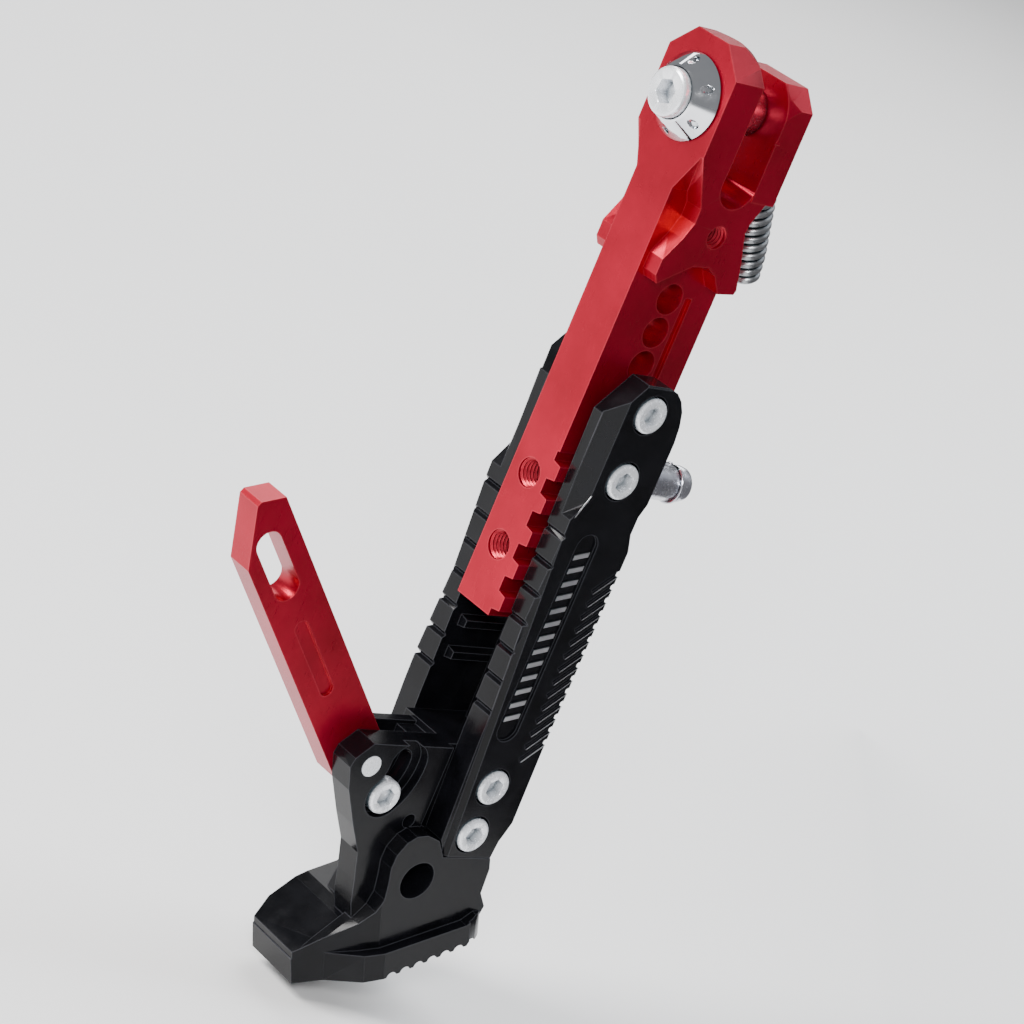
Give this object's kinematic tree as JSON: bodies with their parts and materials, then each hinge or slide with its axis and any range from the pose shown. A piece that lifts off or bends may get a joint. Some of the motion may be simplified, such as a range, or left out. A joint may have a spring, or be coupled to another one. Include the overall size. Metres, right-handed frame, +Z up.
{
  "type": "adjustable motorcycle side stand",
  "caption": "Adjustable side stand for a motorcycle: a slotted pivot arm clamped between toothed leg plates over a wide foot, with a folding foot lever.",
  "frame": {"origin": "on the pivot bolt axis, at the middle of the adjusting bar's thickness and width", "axes": "+Z up the leg from the sole to the pivot, +Y along the pivot bolt towards the machine (the bolt head is on the -Y side), +X out of the plate that carries the bolt heads"},
  "size_m": [0.04, 0.1451, 0.2723],
  "materials": {
    "red_anodised": "satin anodised red",
    "black_anodised": "gloss black anodised",
    "silver_inlay": "satin",
    "zinc_steel": "bright zinc plated",
    "bright_steel": "polished",
    "spring_steel": "grey spring wire"
  },
  "bodies": {
    "pivot_sleeve": {"pivot_sleeve": "zinc_steel"},
    "stand": {"arm": "red_anodised", "pivot_bolt": "zinc_steel", "cup_washer": "bright_steel", "front_plate": "black_anodised", "rear_plate": "black_anodised", "badge_strip": "silver_inlay", "foot": "black_anodised", "clamp_bolt_1": "zinc_steel", "clamp_bolt_2": "zinc_steel", "foot_bolt_1": "zinc_steel", "foot_bolt_2": "zinc_steel", "spring_post": "zinc_steel", "post_ring": "spring_steel", "return_spring": "spring_steel"},
    "lever": {"lever": "red_anodised", "lever_bolt": "zinc_steel", "lever_pin": "zinc_steel"}
  },
  "joints": [
    {"name": "stand_swing", "type": "hinge", "parent": "pivot_sleeve", "child": "stand", "pos_m": [0, 0, 0], "axis": [0, 1, 0], "range_deg": [0, 100]},
    {"name": "lever_fold", "type": "hinge", "parent": "stand", "child": "lever", "pos_m": [0, -0.0397, -0.1875], "axis": [1, 0, 0], "range_deg": [0, 45]}
  ]
}
